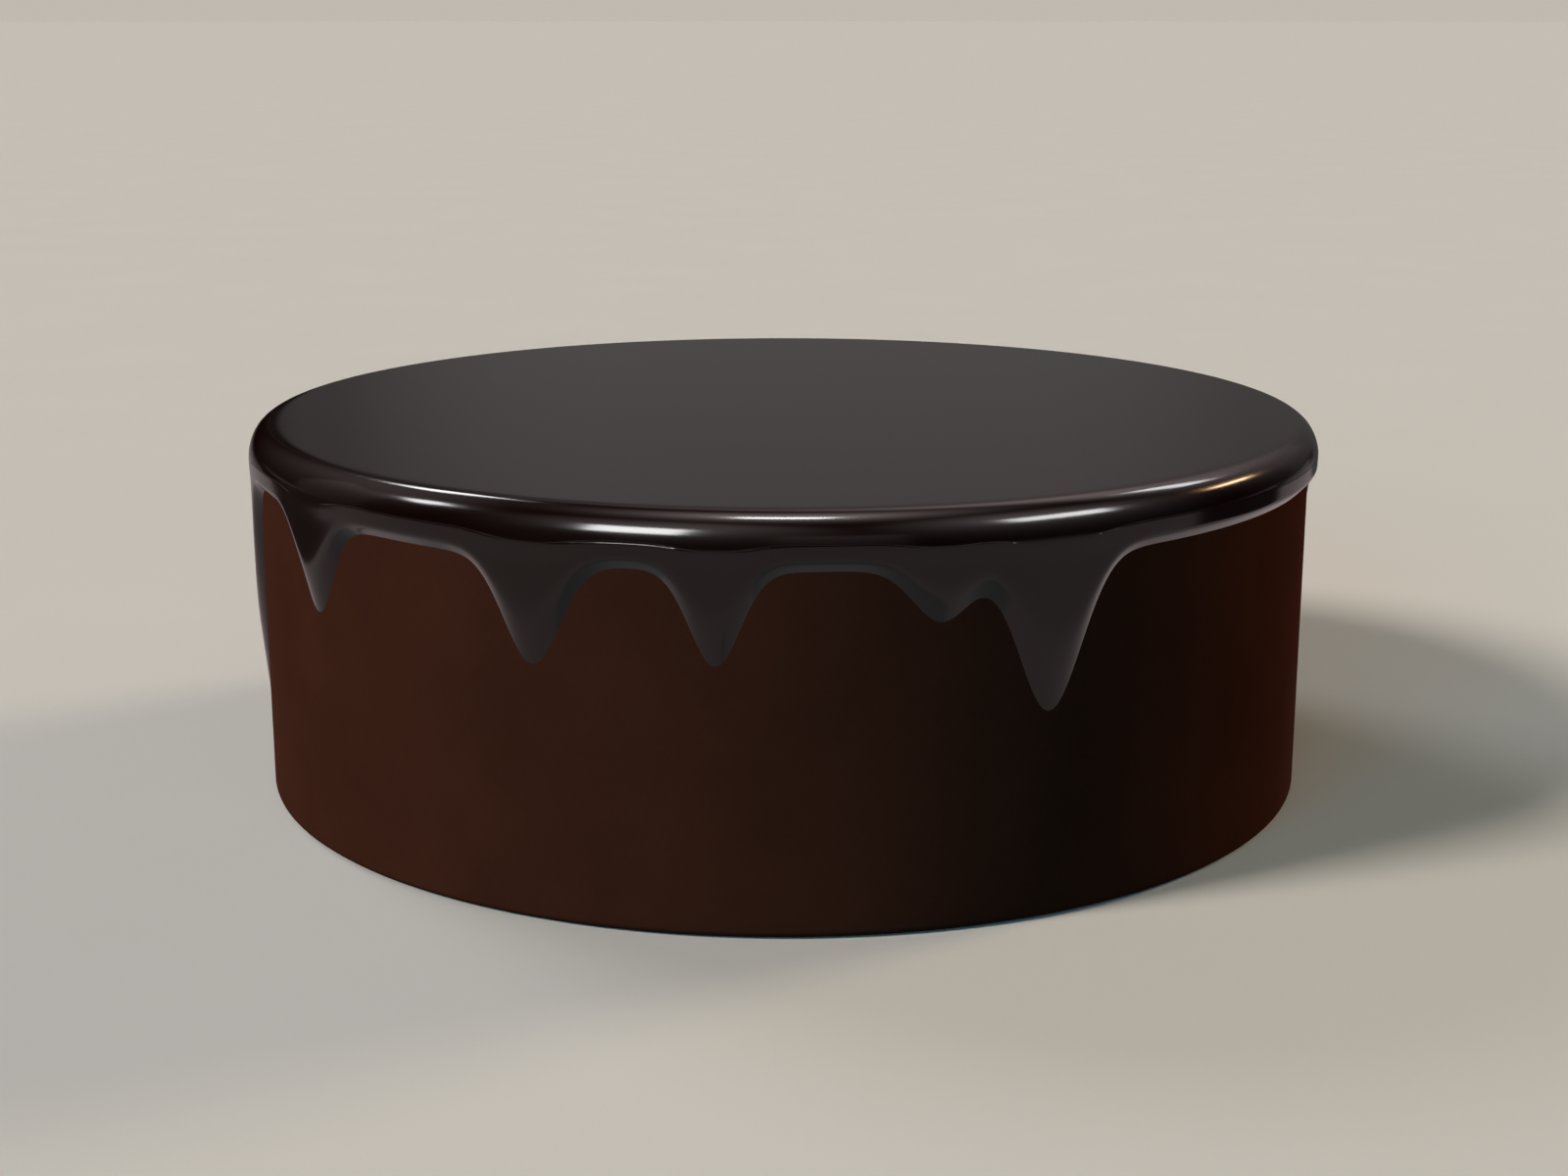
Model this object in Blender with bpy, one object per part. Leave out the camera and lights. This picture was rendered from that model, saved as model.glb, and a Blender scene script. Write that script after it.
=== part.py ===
"""A mirror-glazed entremet: a round mousse cake under one poured chocolate glaze.

Two solids, in metres, +Z up. The origin is the middle of the cake's foot, and -Y is the front.
The cake is turned from one outline. The glaze is turned from a second outline that hangs
lower wherever a drip ran down the side.
"""
import math

import bmesh
import bpy

# The cake, as it leaves its ring
CAKE_RADIUS = 0.090
CAKE_HEIGHT = 0.060
CAKE_TOP_ROUND = 0.003
CAKE_FOOT_ROUND = 0.0012
CAKE_SIDES = 120
CAKE_ROUND_STEPS = 3
CAKE_FOOT_STEPS = 2

# The air between the two solids
FIT_GAP = 0.0003

# The pool on top and the bead that its edge forms
GLAZE_HEIGHT = 0.0629
POOL_RADIUS = 0.0874
BEAD_RADIUS = 0.0916
BEAD_DEPTH = 0.0057
BEAD_STEPS = 4

# The crease under the bead, which sags where the glaze ran on into a drip
CREASE_HEIGHT = 0.0583
CREASE_DEPTH = 0.00034
CREASE_HALF_WIDTH = 0.0002
CREASE_SAG = 0.0011
CREASE_SAG_REACH = 0.008

# The film below the crease, whose lowest third is bevelled down to its edge
FILM_RADIUS = 0.09148
FILM_EDGE_HEIGHT = 0.05437
BEVEL_SHARE = 0.36
BEVEL_ROUND = 0.042
FILM_STATIONS = (0.0, 0.3, 0.55, 0.63, 0.70, 0.78, 0.89, 1.0)
GLAZE_SIDES = 240
GLAZE_INNER_STEPS = 2

# Each drip: degrees round from the front towards +X, length below the film's edge, half width
DRIPS = (
    (-79.8, 0.0390, 0.0073),
    (-53.0, 0.0148, 0.0068),
    (-23.6, 0.0153, 0.0063),
    (-6.2, 0.0138, 0.0050),
    (14.2, 0.0078, 0.0058),
    (25.1, 0.0226, 0.0072),
    (89.0, 0.0150, 0.0066),
    (107.0, 0.0105, 0.0056),
    (121.5, 0.0270, 0.0073),
    (147.0, 0.0125, 0.0060),
    (160.0, 0.0180, 0.0064),
    (184.0, 0.0310, 0.0075),
    (203.0, 0.0090, 0.0052),
    (214.5, 0.0165, 0.0066),
    (241.0, 0.0235, 0.0070),
    (257.0, 0.0110, 0.0054),
)

# Colours are linear, not display, values
MOUSSE_COLOUR = (0.055, 0.018, 0.010, 1.0)
MOUSSE_ROUGHNESS = 0.45
GLAZE_COLOUR = (0.014, 0.008, 0.006, 1.0)
GLAZE_ROUGHNESS = 0.08
SHARP_ANGLE = math.radians(38)


def clear_scene():
    """Remove whatever the opened file holds."""
    for thing in list(bpy.data.objects):
        bpy.data.objects.remove(thing, do_unlink=True)


def make_material(name, colour, roughness):
    """Return a plain Principled material."""
    material = bpy.data.materials.new(name)
    material.use_nodes = True
    shader = material.node_tree.nodes["Principled BSDF"]
    shader.inputs["Base Color"].default_value = colour
    shader.inputs["Roughness"].default_value = roughness
    shader.inputs["Metallic"].default_value = 0.0
    return material


def quarter_round(centre_r, centre_z, radius, start, end, steps):
    """Return the points of an arc in the outline's plane; angles are degrees up from +R."""
    points = []
    for step in range(steps + 1):
        angle = math.radians(start + (end - start) * step / steps)
        points.append((centre_r + radius * math.cos(angle), centre_z + radius * math.sin(angle)))
    return points


def drip_drop(degrees):
    """Return how far below its usual level the film's edge hangs at this angle."""
    drop = 0.0
    for place, length, half_width in DRIPS:
        away = (degrees - place + 180.0) % 360.0 - 180.0
        across = math.radians(away) * CAKE_RADIUS
        drop += length * math.exp(-(across / half_width) ** 2)
    return drop


def cake_outline():
    """Return the cake's (radius, height) outline, from its foot up to its top face."""
    foot = quarter_round(
        CAKE_RADIUS - CAKE_FOOT_ROUND, CAKE_FOOT_ROUND, CAKE_FOOT_ROUND, -90, 0, CAKE_FOOT_STEPS
    )
    top = quarter_round(
        CAKE_RADIUS - CAKE_TOP_ROUND, CAKE_HEIGHT - CAKE_TOP_ROUND, CAKE_TOP_ROUND,
        0, 90, CAKE_ROUND_STEPS,
    )
    return foot + top


def bead_outline(bead_foot):
    """Return the bead, a quarter of an ellipse that ends in a full-width lip at bead_foot."""
    centre = GLAZE_HEIGHT - BEAD_DEPTH
    end = math.acos((bead_foot - centre) / BEAD_DEPTH)
    points = []
    for step in range(BEAD_STEPS):
        angle = end * step / BEAD_STEPS
        radius = POOL_RADIUS + (BEAD_RADIUS - POOL_RADIUS) * math.sin(angle)
        points.append((radius, centre + BEAD_DEPTH * math.cos(angle)))
    points.append((BEAD_RADIUS, bead_foot))
    return points


def film_outline(film_top, film_edge):
    """Return the outer face of the film: full thickness above, then an eased bevel."""
    inner = CAKE_RADIUS + FIT_GAP
    points = []
    for station in FILM_STATIONS:
        bevel = math.log1p(math.exp((station - 1.0 + BEVEL_SHARE) / BEVEL_ROUND)) * BEVEL_ROUND
        fullness = max(0.0, 1.0 - bevel / BEVEL_SHARE)
        height = film_top + (film_edge - film_top) * station
        points.append((inner + (FILM_RADIUS - inner) * fullness, height))
    return points


def glaze_outline(drop):
    """Return the glaze's outline where its edge hangs lower by drop.

    It runs from the rim of the flat top down the outside, and up the inside to the ceiling
    that lies on the cake. It has the same number of points whatever the drop.
    """
    crease = CREASE_HEIGHT - CREASE_SAG * (1.0 - math.exp(-drop / CREASE_SAG_REACH))
    bead = bead_outline(crease + CREASE_HALF_WIDTH)
    groove = [(BEAD_RADIUS - CREASE_DEPTH, crease)]
    film = film_outline(crease - CREASE_HALF_WIDTH, FILM_EDGE_HEIGHT - drop)
    ceiling = quarter_round(
        CAKE_RADIUS - CAKE_TOP_ROUND, CAKE_HEIGHT - CAKE_TOP_ROUND, CAKE_TOP_ROUND + FIT_GAP,
        0, 90, GLAZE_INNER_STEPS,
    )
    return bead + groove + film + ceiling


def turn_outline(outline, sides):
    """Spin an open outline into a closed solid with flat ends.

    Returns the mesh under edit and the layer that holds each vertex's place in the outline.
    """
    mesh = bmesh.new()
    place = mesh.verts.layers.int.new("outline_place")
    chain = []
    for index, (radius, height) in enumerate(outline):
        vertex = mesh.verts.new((0.0, -radius, height))
        vertex[place] = index
        chain.append(vertex)
    edges = [mesh.edges.new(pair) for pair in zip(chain, chain[1:])]
    bmesh.ops.spin(
        mesh, geom=chain + edges, cent=(0, 0, 0), axis=(0, 0, 1), dvec=(0, 0, 0),
        angle=math.tau, steps=sides, use_merge=True, use_duplicate=False,
    )
    rims = [edge for edge in mesh.edges if edge.is_boundary]
    bmesh.ops.holes_fill(mesh, edges=rims, sides=0)
    bmesh.ops.recalc_face_normals(mesh, faces=mesh.faces)
    return mesh, place


def add_object(name, mesh, material):
    """Make a smooth-shaded object of a finished mesh."""
    data = bpy.data.meshes.new(name)
    mesh.to_mesh(data)
    mesh.free()
    data.materials.append(material)
    data.shade_smooth()
    data.set_sharp_from_angle(angle=SHARP_ANGLE)
    thing = bpy.data.objects.new(name, data)
    bpy.context.scene.collection.objects.link(thing)
    return thing


def make_cake():
    """Build the plain round cake that carries the glaze."""
    mesh, _ = turn_outline(cake_outline(), CAKE_SIDES)
    material = make_material("chocolate_mousse", MOUSSE_COLOUR, MOUSSE_ROUGHNESS)
    return add_object("mousse_cake", mesh, material)


def make_glaze():
    """Build the glaze: turned level all round, then let down along each drip."""
    mesh, place = turn_outline(glaze_outline(0.0), GLAZE_SIDES)
    for vertex in mesh.verts:
        round_from_front = math.atan2(vertex.co.x, -vertex.co.y)
        drop = drip_drop(math.degrees(round_from_front))
        radius, height = glaze_outline(drop)[vertex[place]]
        vertex.co.x = radius * math.sin(round_from_front)
        vertex.co.y = -radius * math.cos(round_from_front)
        vertex.co.z = height
    material = make_material("chocolate_glaze", GLAZE_COLOUR, GLAZE_ROUGHNESS)
    return add_object("mirror_glaze", mesh, material)


clear_scene()
make_cake()
make_glaze()
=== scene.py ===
"""The looks of a mirror-glazed entremet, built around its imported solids.

A round chocolate mousse cake stands on a pale sweep. One dark glaze was poured over it: it lies
flat on top, rolls over the rim as a bead, and runs down the side as a thin film with drips.
Everything is in metres, +Z up, and the front of the cake faces -Y. Angles round the cake are
in degrees from the front, positive towards +X.
"""
from __future__ import annotations

import logging
import math
from dataclasses import dataclass, field
from enum import Enum
from typing import Any, Callable

import bmesh
import bpy
from mathutils import Euler, Matrix, Quaternion, Vector

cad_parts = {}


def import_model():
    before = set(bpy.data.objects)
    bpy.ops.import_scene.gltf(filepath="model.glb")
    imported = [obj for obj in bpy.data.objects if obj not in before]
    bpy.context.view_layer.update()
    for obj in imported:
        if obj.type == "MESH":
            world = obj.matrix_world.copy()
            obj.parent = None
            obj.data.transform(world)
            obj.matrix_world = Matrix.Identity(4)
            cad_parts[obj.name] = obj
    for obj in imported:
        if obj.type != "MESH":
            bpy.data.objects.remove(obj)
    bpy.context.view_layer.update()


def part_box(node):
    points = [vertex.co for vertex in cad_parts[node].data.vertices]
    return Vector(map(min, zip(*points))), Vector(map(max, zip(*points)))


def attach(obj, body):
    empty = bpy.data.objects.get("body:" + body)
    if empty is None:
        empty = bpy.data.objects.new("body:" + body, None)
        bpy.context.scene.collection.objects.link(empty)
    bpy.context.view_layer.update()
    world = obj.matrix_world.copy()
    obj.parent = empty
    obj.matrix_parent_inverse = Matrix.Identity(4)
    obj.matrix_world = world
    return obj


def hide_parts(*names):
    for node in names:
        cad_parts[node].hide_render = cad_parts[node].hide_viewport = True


LOG = logging.getLogger("entremet")
BODY = "root"
MM = 0.001
SIDES = 720
GRID_HALF = 0.5
SEAM_REACH = 0.002 * MM
# The middle share of its 0 to 1 that a noise pattern really fills
NOISE_LOW, NOISE_HIGH = 0.3, 0.7

Outline = list[tuple[float, float]]


class Slot(Enum):
    """The record's material slots."""

    MOUSSE = "chocolate_mousse"
    GLAZE = "chocolate_glaze"


# ---------------------------------------------------------------- helpers


def linear_from_hex(code: str) -> tuple[float, float, float, float]:
    """Turn an sRGB hex colour into the linear colour that a shader takes.

    Args:
        code: six hex digits after a hash sign.

    Returns:
        Linear red, green and blue, and an alpha of 1.
    """
    channels = [int(code[start:start + 2], 16) / 255.0 for start in (1, 3, 5)]
    linear = [c / 12.92 if c <= 0.04045 else ((c + 0.055) / 1.055) ** 2.4 for c in channels]
    return (linear[0], linear[1], linear[2], 1.0)


def add_node(tree: bpy.types.NodeTree, kind: str, settings: dict[str, Any] | None = None,
             **inputs: Any) -> bpy.types.Node:
    """Add a node, set it up and link it.

    Args:
        tree: the node tree to add to.
        kind: the node's type name.
        settings: properties of the node itself.
        **inputs: socket name, with _ for a space, to a value or to the output to link from.
            A socket that shares its name is given as in and its number.

    Returns:
        The new node.
    """
    node = tree.nodes.new(kind)
    for name, value in (settings or {}).items():
        setattr(node, name, value)
    for name, value in inputs.items():
        numbered = name.startswith("in") and name[2:].isdigit()
        socket = node.inputs[int(name[2:]) if numbered else name.replace("_", " ")]
        if isinstance(value, bpy.types.NodeSocket):
            tree.links.new(value, socket)
        else:
            socket.default_value = value
    return node


def blank_material(name: str) -> tuple[bpy.types.Material, bpy.types.NodeTree]:
    """Start a material with an empty node tree.

    Args:
        name: the material's name.

    Returns:
        The material and its tree.
    """
    material = bpy.data.materials.new(name)
    material.use_nodes = True
    material.node_tree.nodes.clear()
    return material, material.node_tree


def finish_material(tree: bpy.types.NodeTree, shader: bpy.types.Node) -> None:
    """Link a shader to the material's output."""
    add_node(tree, "ShaderNodeOutputMaterial", Surface=shader.outputs[0])


def arc(centre_r: float, centre_z: float, radius: float, start: float, end: float,
        steps: int) -> Outline:
    """Return points along an arc in the outline's plane.

    Args:
        centre_r: the centre's distance from the axis.
        centre_z: the centre's height.
        radius: the arc's radius.
        start: first angle in degrees, up from the outward direction.
        end: last angle in degrees.
        steps: how many chords the arc has.

    Returns:
        The points as (radius, height) pairs.
    """
    points = []
    for step in range(steps + 1):
        angle = math.radians(start + (end - start) * step / steps)
        points.append((centre_r + radius * math.cos(angle), centre_z + radius * math.sin(angle)))
    return points


def turn_from(place: float, degrees: float) -> float:
    """Return the turn from a place to an angle, between -180 and 180 degrees."""
    return (degrees - place + 180.0) % 360.0 - 180.0


def turn(outline_at: Callable[[float], Outline]) -> bmesh.types.BMesh:
    """Wrap a grid round the axis, so that it follows an outline at each angle.

    Args:
        outline_at: gives the outline at an angle in degrees, with the same number of points
            at every angle. Its first and last points are closed off flat.

    Returns:
        The mesh, closed, with its faces pointing out.
    """
    columns = [outline_at(360.0 * side / SIDES) for side in range(SIDES)]
    rows = len(columns[0]) - 1
    mesh = bmesh.new()
    bmesh.ops.create_grid(mesh, x_segments=SIDES, y_segments=rows, size=GRID_HALF)
    for vertex in mesh.verts:
        side = round((vertex.co.x + GRID_HALF) * SIDES) % SIDES
        radius, height = columns[side][round((vertex.co.y + GRID_HALF) * rows)]
        angle = math.tau * side / SIDES
        vertex.co = (radius * math.sin(angle), -radius * math.cos(angle), height)
    bmesh.ops.remove_doubles(mesh, verts=mesh.verts, dist=SEAM_REACH)
    rims = [edge for edge in mesh.edges if edge.is_boundary]
    bmesh.ops.holes_fill(mesh, edges=rims, sides=0)
    bmesh.ops.recalc_face_normals(mesh, faces=mesh.faces)
    return mesh


def add_piece(name: str, mesh: bmesh.types.BMesh, sharp_degrees: float) -> bpy.types.Object:
    """Make a smooth-shaded object of a finished mesh.

    Args:
        name: the object's name.
        mesh: the mesh, which is freed.
        sharp_degrees: edges that turn by more than this stay sharp.

    Returns:
        The object, at the origin.
    """
    data = bpy.data.meshes.new(name)
    mesh.to_mesh(data)
    mesh.free()
    data.shade_smooth()
    data.set_sharp_from_angle(angle=math.radians(sharp_degrees))
    piece = bpy.data.objects.new(name, data)
    bpy.context.scene.collection.objects.link(piece)
    return piece


# ---------------------------------------------------------------- finishes


@dataclass(frozen=True)
class MirrorGlazeFinish:
    """Cocoa mirror glaze: cocoa, syrup and gelatine, poured warm and set.

    The gelatine sets almost as smooth as the liquid was, so the eye sees a clear reflection,
    soft only at its edges, over a brown that is nearly black. The ripple is the slow wave that
    the pour leaves.
    """

    deep: str = "#120503"
    warm: str = "#170604"
    ior: float = 1.48
    roughness_low: float = 0.125
    roughness_high: float = 0.145
    cloud_mm: float = 34.0
    ripple_mm: float = 15.0
    ripple_height_mm: float = 0.004

    def build(self) -> bpy.types.Material:
        """Mix the finish.

        Returns:
            The material.
        """
        material, tree = blank_material("cocoa_mirror_glaze")
        where = add_node(tree, "ShaderNodeTexCoord").outputs["Object"]
        cloud = add_node(tree, "ShaderNodeTexNoise", Vector=where, Scale=1 / (self.cloud_mm * MM),
                         Detail=2.0, Roughness=0.5)
        colour = add_node(tree, "ShaderNodeMix", {"data_type": "RGBA"}, in0=cloud.outputs["Fac"],
                          in6=linear_from_hex(self.deep), in7=linear_from_hex(self.warm))
        gloss = add_node(tree, "ShaderNodeMapRange", Value=cloud.outputs["Fac"],
                         From_Min=NOISE_LOW, From_Max=NOISE_HIGH, To_Min=self.roughness_low,
                         To_Max=self.roughness_high)
        ripple = add_node(tree, "ShaderNodeTexNoise", Vector=where,
                          Scale=1 / (self.ripple_mm * MM), Detail=1.0)
        bump = add_node(tree, "ShaderNodeBump", Height=ripple.outputs["Fac"], Strength=1.0,
                        Distance=self.ripple_height_mm * MM)
        shader = add_node(tree, "ShaderNodeBsdfPrincipled", Base_Color=colour.outputs[2],
                          Roughness=gloss.outputs[0], Normal=bump.outputs[0], IOR=self.ior)
        finish_material(tree, shader)
        return material


@dataclass(frozen=True)
class SetMousseFinish:
    """Chocolate mousse, frozen against an acetate band and thawed.

    The band leaves a close, even skin, which the eye sees as matt, with a faint unevenness of
    the cocoa. Its air cells are about 0.1 mm across, too fine to show, so the grain is drawn
    as coarse as it needs to show.
    """

    dark: str = "#42231a"
    light: str = "#4c291d"
    roughness: float = 0.60
    specular: float = 0.001
    cloud_mm: float = 22.0
    grain_mm: float = 0.9
    grain_share: float = 0.25
    grain_height_mm: float = 0.012

    def build(self) -> bpy.types.Material:
        """Mix the finish.

        Returns:
            The material.
        """
        material, tree = blank_material("set_chocolate_mousse")
        where = add_node(tree, "ShaderNodeTexCoord").outputs["Object"]
        cloud = add_node(tree, "ShaderNodeTexNoise", Vector=where, Scale=1 / (self.cloud_mm * MM),
                         Detail=3.0, Roughness=0.55)
        grain = add_node(tree, "ShaderNodeTexNoise", Vector=where, Scale=1 / (self.grain_mm * MM),
                         Detail=2.0, Roughness=0.6)
        both = add_node(tree, "ShaderNodeMix", {"data_type": "FLOAT"}, in0=self.grain_share,
                        in2=cloud.outputs["Fac"], in3=grain.outputs["Fac"])
        spread = add_node(tree, "ShaderNodeMapRange", Value=both.outputs[0],
                          From_Min=NOISE_LOW, From_Max=NOISE_HIGH)
        colour = add_node(tree, "ShaderNodeMix", {"data_type": "RGBA"}, in0=spread.outputs[0],
                          in6=linear_from_hex(self.dark), in7=linear_from_hex(self.light))
        bump = add_node(tree, "ShaderNodeBump", Height=grain.outputs["Fac"], Strength=1.0,
                        Distance=self.grain_height_mm * MM)
        shader = add_node(tree, "ShaderNodeBsdfPrincipled", Base_Color=colour.outputs[2],
                          Roughness=self.roughness, Normal=bump.outputs[0],
                          Specular_IOR_Level=self.specular)
        finish_material(tree, shader)
        return material


@dataclass(frozen=True)
class StudioPaperFinish:
    """Matt seamless background paper, which gives the eye a flat tone with no shine.

    Its fibres are too fine to show, so only a faint mottle is drawn.
    """

    tone: str = "#e9ebee"
    shade: str = "#e5e7ea"
    mottle_mm: float = 60.0

    def build(self) -> bpy.types.Material:
        """Mix the finish.

        Returns:
            The material.
        """
        material, tree = blank_material("seamless_paper")
        where = add_node(tree, "ShaderNodeTexCoord").outputs["Object"]
        mottle = add_node(tree, "ShaderNodeTexNoise", Vector=where,
                          Scale=1 / (self.mottle_mm * MM), Detail=3.0)
        colour = add_node(tree, "ShaderNodeMix", {"data_type": "RGBA"},
                          in0=mottle.outputs["Fac"], in6=linear_from_hex(self.shade),
                          in7=linear_from_hex(self.tone))
        shader = add_node(tree, "ShaderNodeBsdfDiffuse", Color=colour.outputs[2])
        finish_material(tree, shader)
        return material


# ---------------------------------------------------------------- the cake


@dataclass(frozen=True)
class Drip:
    """One run of glaze down the side.

    place is in degrees from the front, length is how far its tip hangs below the film's usual
    edge, and half_width is measured round the cake.
    """

    place: float
    length: float
    half_width: float


DRIPS = (
    Drip(-79.8, 39.0 * MM, 7.3 * MM),
    Drip(-53.0, 14.8 * MM, 6.8 * MM),
    Drip(-23.6, 15.3 * MM, 6.3 * MM),
    Drip(-6.2, 13.8 * MM, 5.0 * MM),
    Drip(14.2, 7.8 * MM, 5.8 * MM),
    Drip(25.1, 22.6 * MM, 7.2 * MM),
    Drip(89.0, 15.0 * MM, 6.6 * MM),
    Drip(107.0, 10.5 * MM, 5.6 * MM),
    Drip(121.5, 27.0 * MM, 7.3 * MM),
    Drip(147.0, 12.5 * MM, 6.0 * MM),
    Drip(160.0, 18.0 * MM, 6.4 * MM),
    Drip(184.0, 31.0 * MM, 7.5 * MM),
    Drip(203.0, 9.0 * MM, 5.2 * MM),
    Drip(214.5, 16.5 * MM, 6.6 * MM),
    Drip(241.0, 23.5 * MM, 7.0 * MM),
    Drip(257.0, 11.0 * MM, 5.4 * MM),
)


@dataclass
class MousseBody:
    """The cake itself: a straight-sided round of mousse with eased edges."""

    radius: float
    height: float
    top_round: float = 3.0 * MM
    foot_round: float = 1.2 * MM
    round_steps: int = 6
    side_rows: int = 28
    sharp_degrees: float = 60.0
    finish: SetMousseFinish = field(default_factory=SetMousseFinish)

    def outline(self, _degrees: float) -> Outline:
        """Return the outline, which is the same all round.

        Args:
            _degrees: the angle round the cake, unused.

        Returns:
            The points from the foot up to the top face.
        """
        foot = arc(self.radius - self.foot_round, self.foot_round, self.foot_round, -90, 0,
                   self.round_steps)
        top_start = self.height - self.top_round
        rise = top_start - self.foot_round
        side = [(self.radius, self.foot_round + rise * row / self.side_rows)
                for row in range(1, self.side_rows)]
        top = arc(self.radius - self.top_round, top_start, self.top_round, 0, 90,
                  self.round_steps)
        return foot + side + top

    def build(self) -> bpy.types.Object:
        """Make the piece that stands in place of the mousse's solid.

        Returns:
            The piece, still without its finish.
        """
        piece = add_piece("mousse_body", turn(self.outline), self.sharp_degrees)
        piece.visible_glossy = False
        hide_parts("mousse_cake")
        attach(piece, BODY)
        return piece

    def dress(self, piece: bpy.types.Object) -> None:
        """Give the piece its finish."""
        piece.data.materials.append(self.finish.build())


@dataclass
class GlazePour:
    """The poured glaze: pool, rim bead, crease, film and drips, in one skin.

    The pool eases into the bead, which is a quarter of an ellipse. The crease is where the bead
    froze over the film. Where a drip carried the glaze on down, the two stayed one surface, so
    the crease sags and fades out there. At lip_place the film's upper lip is rounded back over
    lip_span degrees. The film is bevelled over its lowest bevel_share. Each of its stations is
    a share of its length, and how many rows lead down to it.
    """

    top: float
    cake_radius: float
    cake_height: float
    cake_round: float = 3.0 * MM
    drips: tuple[Drip, ...] = DRIPS
    pool_radius: float = 87.4 * MM
    pool_rings: tuple[float, ...] = (0.35, 0.7, 0.93, 0.98)
    ease_start: float = 86.1 * MM
    ease_angle: float = 14.0
    ease_steps: int = 10
    bead_radius: float = 91.6 * MM
    bead_depth: float = 5.7 * MM
    bead_steps: int = 26
    crease_height: float = 58.3 * MM
    crease_sag: float = 1.1 * MM
    crease_sag_reach: float = 8.0 * MM
    crease_fade: float = 2.5 * MM
    crease_depth: float = 0.34 * MM
    crease_reach: float = 0.35 * MM
    crease_width: float = 0.08 * MM
    crease_edge: float = 0.004 * MM
    crease_steps: int = 8
    lip_place: float = -15.0
    lip_span: float = 9.0
    lip_depth: float = 0.18 * MM
    lip_width: float = 0.10 * MM
    lip_curve: float = 1.3
    lip_reach: float = 1.1 * MM
    lip_steps: int = 14
    shoulder: float = 2.0 * MM
    film_radius: float = 91.48 * MM
    film_edge: float = 54.37 * MM
    bevel_share: float = 0.385
    bevel_round: float = 0.042
    film_stations: tuple[tuple[float, int], ...] = ((0.48, 6), (0.80, 18), (1.025, 8))
    bite: float = 0.1 * MM
    inner_steps: int = 6
    sharp_degrees: float = 50.0
    finish: MirrorGlazeFinish = field(default_factory=MirrorGlazeFinish)

    def drop(self, degrees: float) -> float:
        """Return how far the film's edge hangs below its usual level.

        Args:
            degrees: the angle round the cake.

        Returns:
            The extra length, summed over the drips.
        """
        total = 0.0
        for drip in self.drips:
            across = math.radians(turn_from(drip.place, degrees)) * self.cake_radius
            total += drip.length * math.exp(-(across / drip.half_width) ** 2)
        return total

    def bead_angle(self, height: float) -> float:
        """Return how far round its quarter ellipse the bead is at a height, in radians."""
        return math.acos((height - self.top + self.bead_depth) / self.bead_depth)

    def bead_point(self, angle: float) -> tuple[float, float]:
        """Return the bead's outer face at an angle round its quarter ellipse."""
        return (self.pool_radius + (self.bead_radius - self.pool_radius) * math.sin(angle),
                self.top - self.bead_depth + self.bead_depth * math.cos(angle))

    def ease_outline(self) -> Outline:
        """Return the points that lead the flat pool over into the bead without a kink.

        Returns:
            A parabola's points, from the pool up to where it meets the bead's ellipse.
        """
        angle = math.radians(self.ease_angle)
        end_r, end_z = self.bead_point(angle)
        fall = self.bead_depth * math.tan(angle) / (self.bead_radius - self.pool_radius)
        corner_r = end_r - (self.top - end_z) / fall
        points = []
        for step in range(self.ease_steps):
            t = step / self.ease_steps
            radius = (1 - t) ** 2 * self.ease_start + 2 * t * (1 - t) * corner_r + t * t * end_r
            points.append((radius, self.top - t * t * (self.top - end_z)))
        return points

    def bead_outline(self, crease: float, cut: float) -> Outline:
        """Return the pool and the bead, down to the crease.

        Args:
            crease: the crease's height.
            cut: how deep the crease is.

        Returns:
            The points from near the middle of the top to the floor of the crease.
        """
        points = [(self.pool_radius * share, self.top) for share in self.pool_rings]
        points += self.ease_outline()
        start = math.radians(self.ease_angle)
        turn_left = self.bead_angle(crease + self.crease_reach) - start
        points += [self.bead_point(start + turn_left * step / self.bead_steps)
                   for step in range(self.bead_steps)]
        for step in range(self.crease_steps, -1, -1):
            above = self.crease_reach * (step / self.crease_steps) ** 2
            radius, height = self.bead_point(self.bead_angle(crease + above))
            points.append((radius - cut * math.exp(-(above / self.crease_width) ** 2), height))
        return points

    def film_share(self, station: float) -> float:
        """Return how much of its full thickness the film has.

        Args:
            station: 0 at the crease, 1 at the film's edge.

        Returns:
            1 over most of the film, then a straight bevel down to 0, eased where it starts.
        """
        start = (station - 1.0 + self.bevel_share) / self.bevel_round
        return 1.0 - math.log1p(math.exp(start)) * self.bevel_round / self.bevel_share

    def film_outline(self, crease: float, cut: float, lip: float, drop: float) -> Outline:
        """Return the film's outer face, bevelled down to its edge on the cake.

        Args:
            crease: the height where the film starts.
            cut: how deep the crease is.
            lip: how far the film's upper lip is rounded back.
            drop: how far the film's edge hangs below its usual level.

        Returns:
            The points below the crease, down to the film's root just inside the cake.
        """
        length = crease - (self.film_edge - drop)
        step_in = self.bead_point(self.bead_angle(crease))[0] - self.film_radius
        depths = [self.lip_reach * (step / self.lip_steps) ** 2
                  for step in range(1, self.lip_steps + 1)]
        for station, rows in self.film_stations:
            start = depths[-1]
            depths += [start + (station * length - start) * row / rows
                       for row in range(1, rows + 1)]
        points = []
        for below in depths:
            share = self.film_share(below / length)
            radius = self.cake_radius + (self.film_radius - self.cake_radius) * share
            radius += step_in * math.exp(-(below / self.shoulder) ** 2)
            radius -= lip * math.exp(-(below / self.lip_width) ** self.lip_curve)
            radius -= max(0.0, cut - lip) * math.exp(-(below / self.crease_edge) ** 2)
            points.append((radius, crease - below))
        return points

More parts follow.
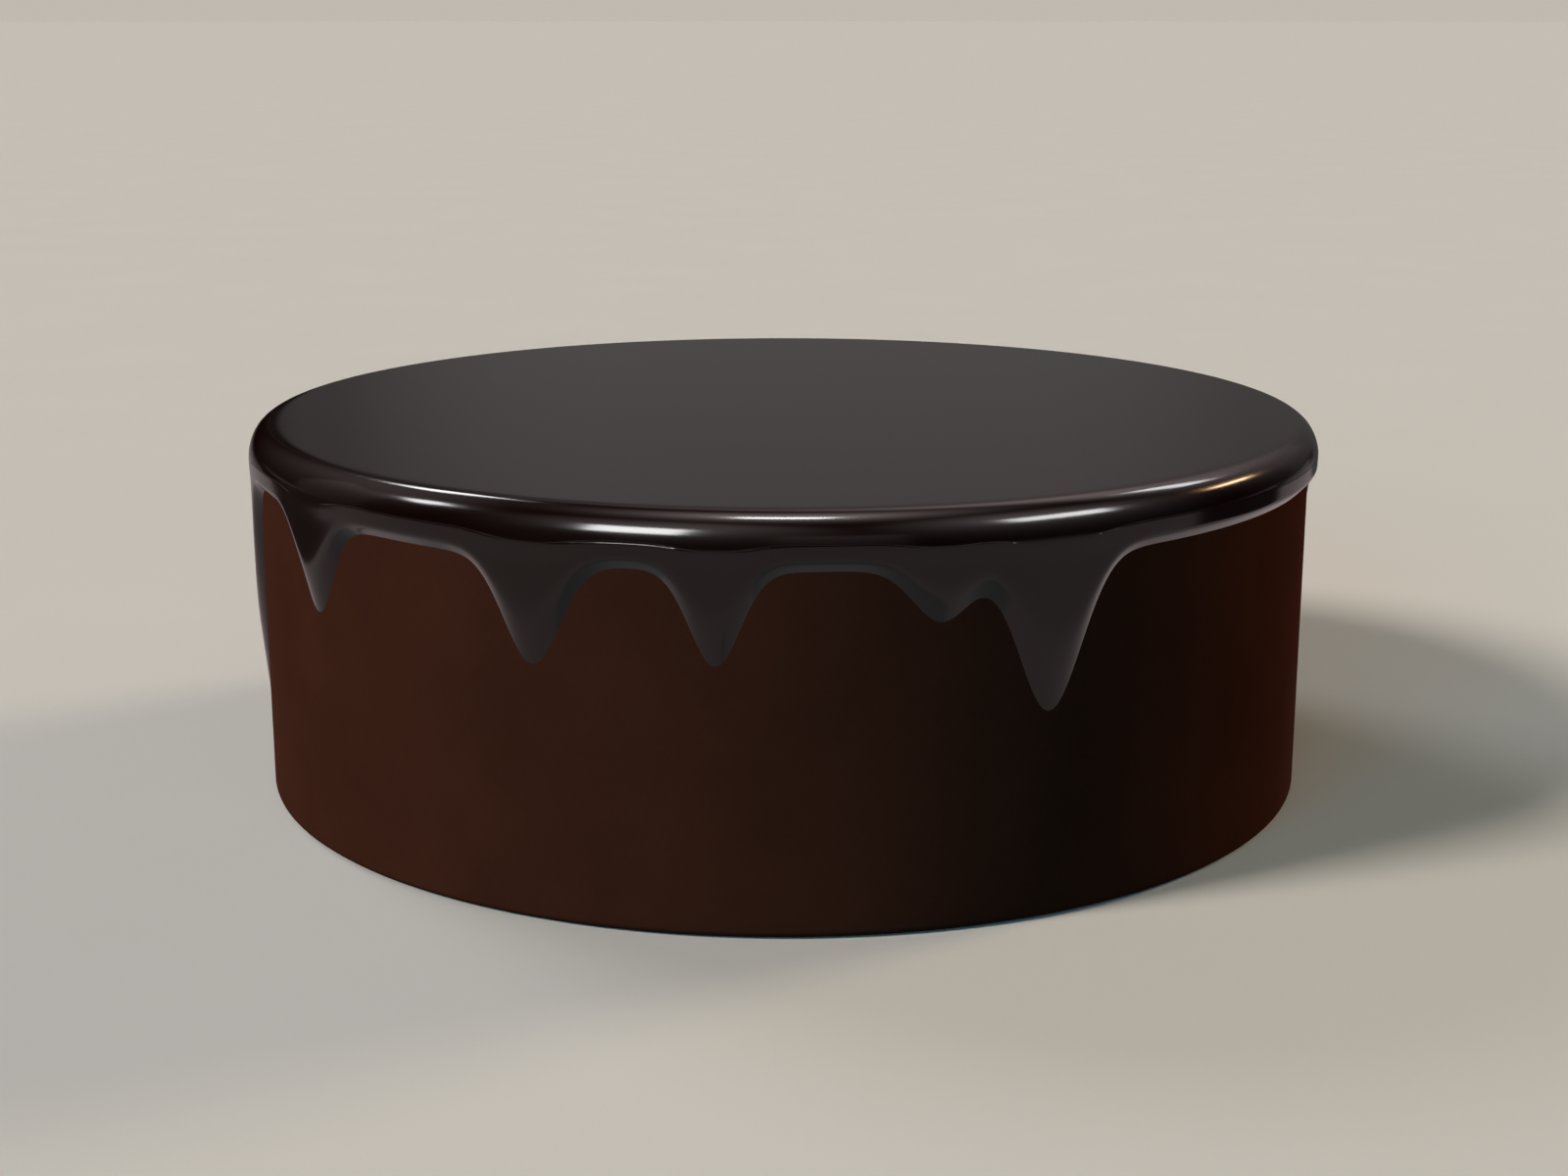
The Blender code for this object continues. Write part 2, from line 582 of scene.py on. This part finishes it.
    def outline(self, degrees: float) -> Outline:
        """Return the glaze's outline at an angle.

        Args:
            degrees: the angle round the cake.

        Returns:
            The points from the top, down the outside, and up the inside to the ceiling.
        """
        drop = self.drop(degrees)
        crease = self.crease_height
        crease -= self.crease_sag * (1.0 - math.exp(-drop / self.crease_sag_reach))
        cut = self.crease_depth * math.exp(-drop / self.crease_fade)
        away = turn_from(self.lip_place, degrees)
        lip = min(cut, self.lip_depth * math.exp(-(away / self.lip_span) ** 2))
        ceiling = arc(self.cake_radius - self.cake_round, self.cake_height - self.cake_round,
                      self.cake_round - self.bite, 0, 90, self.inner_steps)
        return (self.bead_outline(crease, cut) + self.film_outline(crease, cut, lip, drop)
                + ceiling)

    def build(self) -> bpy.types.Object:
        """Make the piece that stands in place of the glaze's solid.

        Returns:
            The piece, still without its finish.
        """
        piece = add_piece("glaze_pour", turn(self.outline), self.sharp_degrees)
        piece.visible_shadow = False
        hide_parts("mirror_glaze")
        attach(piece, BODY)
        return piece

    def dress(self, piece: bpy.types.Object) -> None:
        """Give the piece its finish."""
        piece.data.materials.append(self.finish.build())


# ---------------------------------------------------------------- the studio


def way_to(azimuth: float, elevation: float) -> Vector:
    """Return a direction.

    Args:
        azimuth: degrees round from the front, positive towards +X.
        elevation: degrees above the horizon.

    Returns:
        The direction, of length 1.
    """
    around, up = math.radians(azimuth), math.radians(elevation)
    return Vector((math.sin(around) * math.cos(up), -math.cos(around) * math.cos(up),
                   math.sin(up)))


@dataclass(frozen=True)
class SoftLight:
    """A far, soft light for matt surfaces, which glossy ones don't show.

    card is how bright a white card that faces it would be, and spread is the angle that the
    light fills, in degrees.
    """

    name: str
    azimuth: float
    elevation: float
    card: float
    spread: float
    tint: str = "#ffffff"

    def build(self) -> bpy.types.Object:
        """Hang the light and aim it at the cake.

        Returns:
            The light.
        """
        sun = bpy.data.lights.new(self.name, "SUN")
        sun.energy = self.card * math.pi
        sun.angle = math.radians(self.spread)
        sun.color = linear_from_hex(self.tint)[:3]
        thing = bpy.data.objects.new(self.name, sun)
        towards = -way_to(self.azimuth, self.elevation)
        thing.rotation_euler = towards.to_track_quat("-Z", "Y").to_euler()
        thing.visible_glossy = False
        bpy.context.scene.collection.objects.link(thing)
        return thing


@dataclass(frozen=True)
class Softbox:
    """A softbox that only glossy surfaces show.

    Its width and height are angles in degrees, seen from the cake. It leans by roll, which
    lifts the end that is further round.
    """

    name: str
    azimuth: float
    elevation: float
    width: float
    height: float
    roll: float
    glow: float
    tint: str = "#ffffff"
    distance: float = 9.0

    def build(self) -> bpy.types.Object:
        """Hang the softbox and aim it at the cake.

        Returns:
            The softbox.
        """
        lamp = bpy.data.lights.new(self.name, "AREA")
        lamp.shape = "RECTANGLE"
        lamp.size = self.distance * math.radians(self.width)
        lamp.size_y = self.distance * math.radians(self.height)
        lamp.energy = self.glow * math.pi * lamp.size * lamp.size_y
        lamp.color = linear_from_hex(self.tint)[:3]
        thing = bpy.data.objects.new(self.name, lamp)
        thing.location = way_to(self.azimuth, self.elevation) * self.distance
        upright = (-thing.location).to_track_quat("-Z", "Y")
        lean = Quaternion((0.0, 0.0, 1.0), math.radians(self.roll))
        thing.rotation_euler = (upright @ lean).to_euler()
        thing.visible_camera = False
        thing.visible_diffuse = False
        bpy.context.scene.collection.objects.link(thing)
        return thing


@dataclass(frozen=True)
class Block:
    """A plain block that stands in the room: its middle, its sides and its turn in degrees."""

    place: tuple[float, float, float]
    sides: tuple[float, float, float]
    turn: float = 0.0


# What lights the matt mousse and the floor
LIGHTS = (
    SoftLight("key", -67, 36, card=0.64, spread=14, tint="#ffefdd"),
    SoftLight("cool_fill", -28, 8, card=0.38, spread=40, tint="#63cfee"),
    SoftLight("front_fill", 30, 42, card=0.02, spread=30),
    SoftLight("warm_rim", 120, 20, card=0.39, spread=16, tint="#ffe4b8"),
    SoftLight("back_fill", 225, 34, card=0.22, spread=25, tint="#fffaf4"),
)

# What the glaze shows as streaks along its bead, and two dim cards at its right end
SOFTBOXES = (
    Softbox("back_left_box", -146.5, 45.0, 9.7, 8.0, roll=-25.0, glow=15.0),
    Softbox("left_box", -90.6, 36.4, 7.2, 8.6, roll=-32.0, glow=21.0),
    Softbox("overhead_box", 0.5, 83.6, 11.3, 6.2, roll=-4.0, glow=35.0),
    Softbox("front_left_box", -32.3, 32.1, 18.5, 13.9, roll=2.5, glow=23.5),
    Softbox("back_right_box", 131.4, 42.2, 11.8, 7.7, roll=46.0, glow=9.2),
    Softbox("front_right_box", 65.8, 37.0, 20.8, 9.0, roll=-11.0, glow=18.2),
    Softbox("warm_box", 114.6, 25.2, 12.0, 2.9, roll=-22.0, glow=22.5, tint="#ffe0b4"),
    Softbox("warm_halo", 115.0, 26.2, 17.0, 8.0, roll=-22.0, glow=1.6, tint="#ffa050"),
    Softbox("right_card", 140.0, 8.5, 19.0, 17.0, roll=0.0, glow=0.030),
    Softbox("low_right_card", 134.0, -4.6, 20.0, 6.5, roll=0.0, glow=0.12),
)

# What the glaze shows between them
ROOM = Block((-0.8, -0.7, 13.2), (31.7, 28.6, 28.3))
PLINTHS = (
    Block((-10.9, -1.8, 2.0), (2.3, 4.6, 7.9), -11.2),
    Block((-5.6, 0.8, -0.75), (2.0, 4.0, 1.5), 57.0),
    Block((6.2, -7.8, 0.9), (3.9, 3.7, 6.3), 32.1),
    Block((-2.0, -6.1, 0.0), (2.0, 2.1, 4.6), 19.1),
    Block((2.3, 2.6, -0.75), (1.5, 1.5, 1.5), -16.4),
)
BACK_PLINTH = Block((-2.2, 5.5, -0.4), (3.9, 3.0, 3.5), 29.6)
# A block of painted shade under the cake: it glows darker than the walls, as the floor near the
# set would in shade
PAINTED_SHADE_BLOCK = Block((0.0, 0.0, -0.93), (1.8, 1.8, 0.04))


@dataclass
class ReflectedRoom:
    """What glossy surfaces show besides the softboxes: a grey room with plinths round the set.

    Only glossy surfaces show it. The floor of this room lies lower than the set, with a darker
    block of painted shade under the cake, and the walls glow with the shade that a ceiling lamp
    would give them, painted in. The wash is painted light along the back plinth: each stop is a
    place along X, and how bright the paint is there.
    """

    turn: float = -28.0
    lamp: tuple[float, float, float] = (0.4, -0.3, 16.2)
    lamp_power: float = 165.0
    fade: tuple[float, float] = (10.0, 30.0)
    middle_grey: float = 0.285
    contrast: float = 1.6
    wash_reach: tuple[float, float] = (-1.4, 2.6)
    wash: tuple[tuple[float, float], ...] = (
        (-1.09, 0.07), (-1.05, 0.25), (-1.02, 0.56), (-0.99, 0.62), (-0.95, 0.60), (-0.91, 0.60),
        (-0.80, 0.79), (-0.68, 0.93), (-0.57, 1.02), (-0.40, 1.07), (0.55, 1.03), (0.72, 0.97),
        (0.85, 0.87), (0.97, 0.76), (2.5, 0.72),
    )
    # How bright the block of painted shade under the cake glows against the walls
    painted_shade_share: float = 0.66
    wall_tint: str = "#ffebea"
    painted_shade_tint: str = "#ffffff"
    wash_tint: str = "#fffbf9"

    def lit(self, name: str) -> tuple[bpy.types.Material, bpy.types.NodeTree,
                                      bpy.types.NodeSocket, bpy.types.NodeSocket]:
        """Start a glowing paint, as bright as the ceiling lamp would light a grey wall.

        Args:
            name: the material's name.

        Returns:
            The material, its tree, the output that holds the brightness, and the place.
        """
        material, tree = blank_material(name)
        here = add_node(tree, "ShaderNodeNewGeometry")
        turned = Vector(self.lamp)
        turned.rotate(Euler((0.0, 0.0, math.radians(self.turn))))
        away = add_node(tree, "ShaderNodeVectorMath", {"operation": "SUBTRACT"},
                        in0=turned, in1=here.outputs["Position"])
        reach = add_node(tree, "ShaderNodeVectorMath", {"operation": "LENGTH"},
                         in0=away.outputs["Vector"])
        facing = add_node(tree, "ShaderNodeVectorMath", {"operation": "DOT_PRODUCT"},
                          in0=away.outputs["Vector"], in1=here.outputs["Normal"])
        # The dot product holds the distance once more than the cosine does
        cube = add_node(tree, "ShaderNodeMath", {"operation": "POWER"},
                        in0=reach.outputs["Value"], in1=3.0)
        share = add_node(tree, "ShaderNodeMath", {"operation": "DIVIDE", "use_clamp": True},
                         in0=facing.outputs["Value"], in1=cube.outputs[0])
        fall = add_node(tree, "ShaderNodeMapRange", {"interpolation_type": "SMOOTHSTEP"},
                        Value=reach.outputs["Value"], From_Min=self.fade[0],
                        From_Max=self.fade[1], To_Min=self.lamp_power, To_Max=0.0)
        strength = add_node(tree, "ShaderNodeMath", {"operation": "MULTIPLY"},
                            in0=share.outputs[0], in1=fall.outputs[0])
        return material, tree, strength.outputs[0], here.outputs["Position"]

    def glow(self, material: bpy.types.Material, tree: bpy.types.NodeTree,
             strength: bpy.types.NodeSocket, tint: str) -> bpy.types.Material:
        """Finish a glowing paint, which is seen but lights nothing.

        Args:
            material: the paint's material.
            tree: its node tree.
            strength: the output that holds its brightness.
            tint: its colour.

        Returns:
            The material.
        """
        shader = add_node(tree, "ShaderNodeEmission", Color=linear_from_hex(tint),
                          Strength=strength)
        finish_material(tree, shader)
        material.cycles.emission_sampling = "NONE"
        return material

    def wall_paint(self, name: str, share: float, tint: str) -> bpy.types.Material:
        """Return a glowing paint with painted lamp shade, whose shaded parts fall off to near
        black.

        Args:
            name: the material's name.
            share: how bright the paint is against the walls.
            tint: its colour.

        Returns:
            The material.
        """
        material, tree, strength, _ = self.lit(name)
        deeper = add_node(tree, "ShaderNodeMath", {"operation": "POWER"}, in0=strength,
                          in1=self.contrast)
        level = add_node(tree, "ShaderNodeMath", {"operation": "MULTIPLY"},
                         in0=deeper.outputs[0],
                         in1=share * self.middle_grey ** (1.0 - self.contrast))
        return self.glow(material, tree, level.outputs[0], tint)

    def wash_paint(self) -> bpy.types.Material:
        """Return the back plinth's paint: a wash of light that fades out to the left.

        Returns:
            The material.
        """
        material, tree, strength, place = self.lit("washed_grey_plinth")
        along = add_node(tree, "ShaderNodeSeparateXYZ", Vector=place)
        left, right = self.wash_reach
        share = add_node(tree, "ShaderNodeMapRange", Value=along.outputs["X"], From_Min=left,
                         From_Max=right)
        pool = add_node(tree, "ShaderNodeValToRGB", Fac=share.outputs[0])
        pool.color_ramp.interpolation = "LINEAR"
        # A new ramp has two stops, and all but the first are put in below
        stops = pool.color_ramp.elements
        stops.remove(stops[1])
        for number, (place_x, level) in enumerate(self.wash):
            stop = stops[0] if number == 0 else stops.new(1.0)
            stop.position = (place_x - left) / (right - left)
            stop.color = (level, level, level, 1.0)
        level = add_node(tree, "ShaderNodeMath", {"operation": "MULTIPLY"}, in0=strength,
                         in1=pool.outputs[0])
        return self.glow(material, tree, level.outputs[0], self.wash_tint)

    def build(self) -> bpy.types.Object:
        """Build the room, its plinths and its block of painted shade under the cake as one piece
        of staging.

        Returns:
            The room.
        """
        mesh = bmesh.new()
        whole = Matrix.Rotation(math.radians(self.turn), 4, "Z")
        for block in (ROOM, BACK_PLINTH, PAINTED_SHADE_BLOCK) + PLINTHS:
            place = Matrix.LocRotScale(Vector(block.place),
                                       Euler((0.0, 0.0, math.radians(block.turn))),
                                       Vector(block.sides))
            made = bmesh.ops.create_cube(mesh, size=1.0, matrix=whole @ place)
            for face in {face for vertex in made["verts"] for face in vertex.link_faces}:
                face.material_index = {BACK_PLINTH: 1, PAINTED_SHADE_BLOCK: 2}.get(block, 0)
        data = bpy.data.meshes.new("reflected_room")
        mesh.to_mesh(data)
        mesh.free()
        data.materials.append(self.wall_paint("lit_grey_wall", 1.0, self.wall_tint))
        data.materials.append(self.wash_paint())
        # The block under the cake glows darker, as painted shade near the set
        data.materials.append(self.wall_paint("dim_grey_mat", self.painted_shade_share, self.painted_shade_tint))
        room = bpy.data.objects.new("reflected_room", data)
        bpy.context.scene.collection.objects.link(room)
        room.visible_camera = False
        room.visible_diffuse = False
        room.visible_shadow = False
        return room


@dataclass
class Studio:
    """The floor, the lights, the air round the set and the camera."""

    floor_radius: float = 40.0
    floor_sides: int = 96
    floor_gap: float = 0.1 * MM
    ambient: float = 0.04
    backdrop: float = 0.525
    backdrop_tint: str = "#fff7ea"
    camera_place: tuple[float, float, float] = (-0.0005, -0.4055, 0.1295)
    camera_pitch_down: float = 13.78
    camera_turn: float = -0.08
    lens_mm: float = 53.81
    sensor_mm: float = 36.0
    clip: tuple[float, float] = (0.01, 100.0)
    paper: StudioPaperFinish = field(default_factory=StudioPaperFinish)

    def build_floor(self) -> bpy.types.Object:
        """Lay a wide round floor, which neither lights nor mirrors in the cake.

        Returns:
            The floor.
        """
        mesh = bmesh.new()
        bmesh.ops.create_circle(mesh, cap_ends=True, segments=self.floor_sides,
                                radius=self.floor_radius)
        bmesh.ops.translate(mesh, verts=mesh.verts, vec=(0.0, 0.0, -self.floor_gap))
        floor = add_piece("paper_floor", mesh, sharp_degrees=180)
        floor.data.materials.append(self.paper.build())
        floor.visible_diffuse = False
        floor.visible_glossy = False
        return floor

    def build_air(self) -> None:
        """Give the set a low, even light, and a pale backdrop above the floor's edge."""
        world = bpy.data.worlds.new("studio_air")
        world.use_nodes = True
        tree = world.node_tree
        seen = add_node(tree, "ShaderNodeLightPath").outputs["Is Camera Ray"]
        strength = add_node(tree, "ShaderNodeMapRange", Value=seen, To_Min=self.ambient,
                            To_Max=self.backdrop)
        backdrop = tree.nodes["Background"]
        backdrop.inputs["Color"].default_value = linear_from_hex(self.backdrop_tint)
        tree.links.new(strength.outputs[0], backdrop.inputs["Strength"])
        bpy.context.scene.world = world

    def build_camera(self) -> bpy.types.Object:
        """Place the camera and make it the scene's own.

        Returns:
            The camera.
        """
        lens = bpy.data.cameras.new("view")
        lens.sensor_fit = "HORIZONTAL"
        lens.sensor_width = self.sensor_mm
        lens.lens = self.lens_mm
        lens.clip_start, lens.clip_end = self.clip
        camera = bpy.data.objects.new("view", lens)
        camera.location = self.camera_place
        camera.rotation_euler = (math.radians(90.0 - self.camera_pitch_down), 0.0,
                                 math.radians(self.camera_turn))
        bpy.context.scene.collection.objects.link(camera)
        bpy.context.scene.camera = camera
        return camera

    def build(self) -> None:
        """Set up the floor, the lights, the room and the camera."""
        self.build_floor()
        self.build_air()
        ReflectedRoom().build()
        for lamp in LIGHTS + SOFTBOXES:
            lamp.build()
        self.build_camera()
        view = bpy.context.scene.view_settings
        view.view_transform = "Standard"
        view.look = "None"
        view.exposure = 0.0
        view.gamma = 1.0


# ---------------------------------------------------------------- everything together


def main() -> None:
    """Load the frame, build each piece and the studio, and note both boxes."""
    logging.basicConfig(level=logging.INFO, format="%(name)s: %(message)s")
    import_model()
    cake_low, cake_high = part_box("mousse_cake")
    glaze_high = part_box("mirror_glaze")[1]
    cake = MousseBody(radius=cake_high.x, height=cake_high.z - cake_low.z)
    glaze = GlazePour(top=glaze_high.z, cake_radius=cake.radius, cake_height=cake.height,
                      cake_round=cake.top_round)
    for part in (cake, glaze):
        piece = part.build()
        part.dress(piece)
        LOG.info("%s: %d vertices, %d faces", piece.name, len(piece.data.vertices),
                 len(piece.data.polygons))
    Studio().build()


if __name__ == "__main__":
    main()
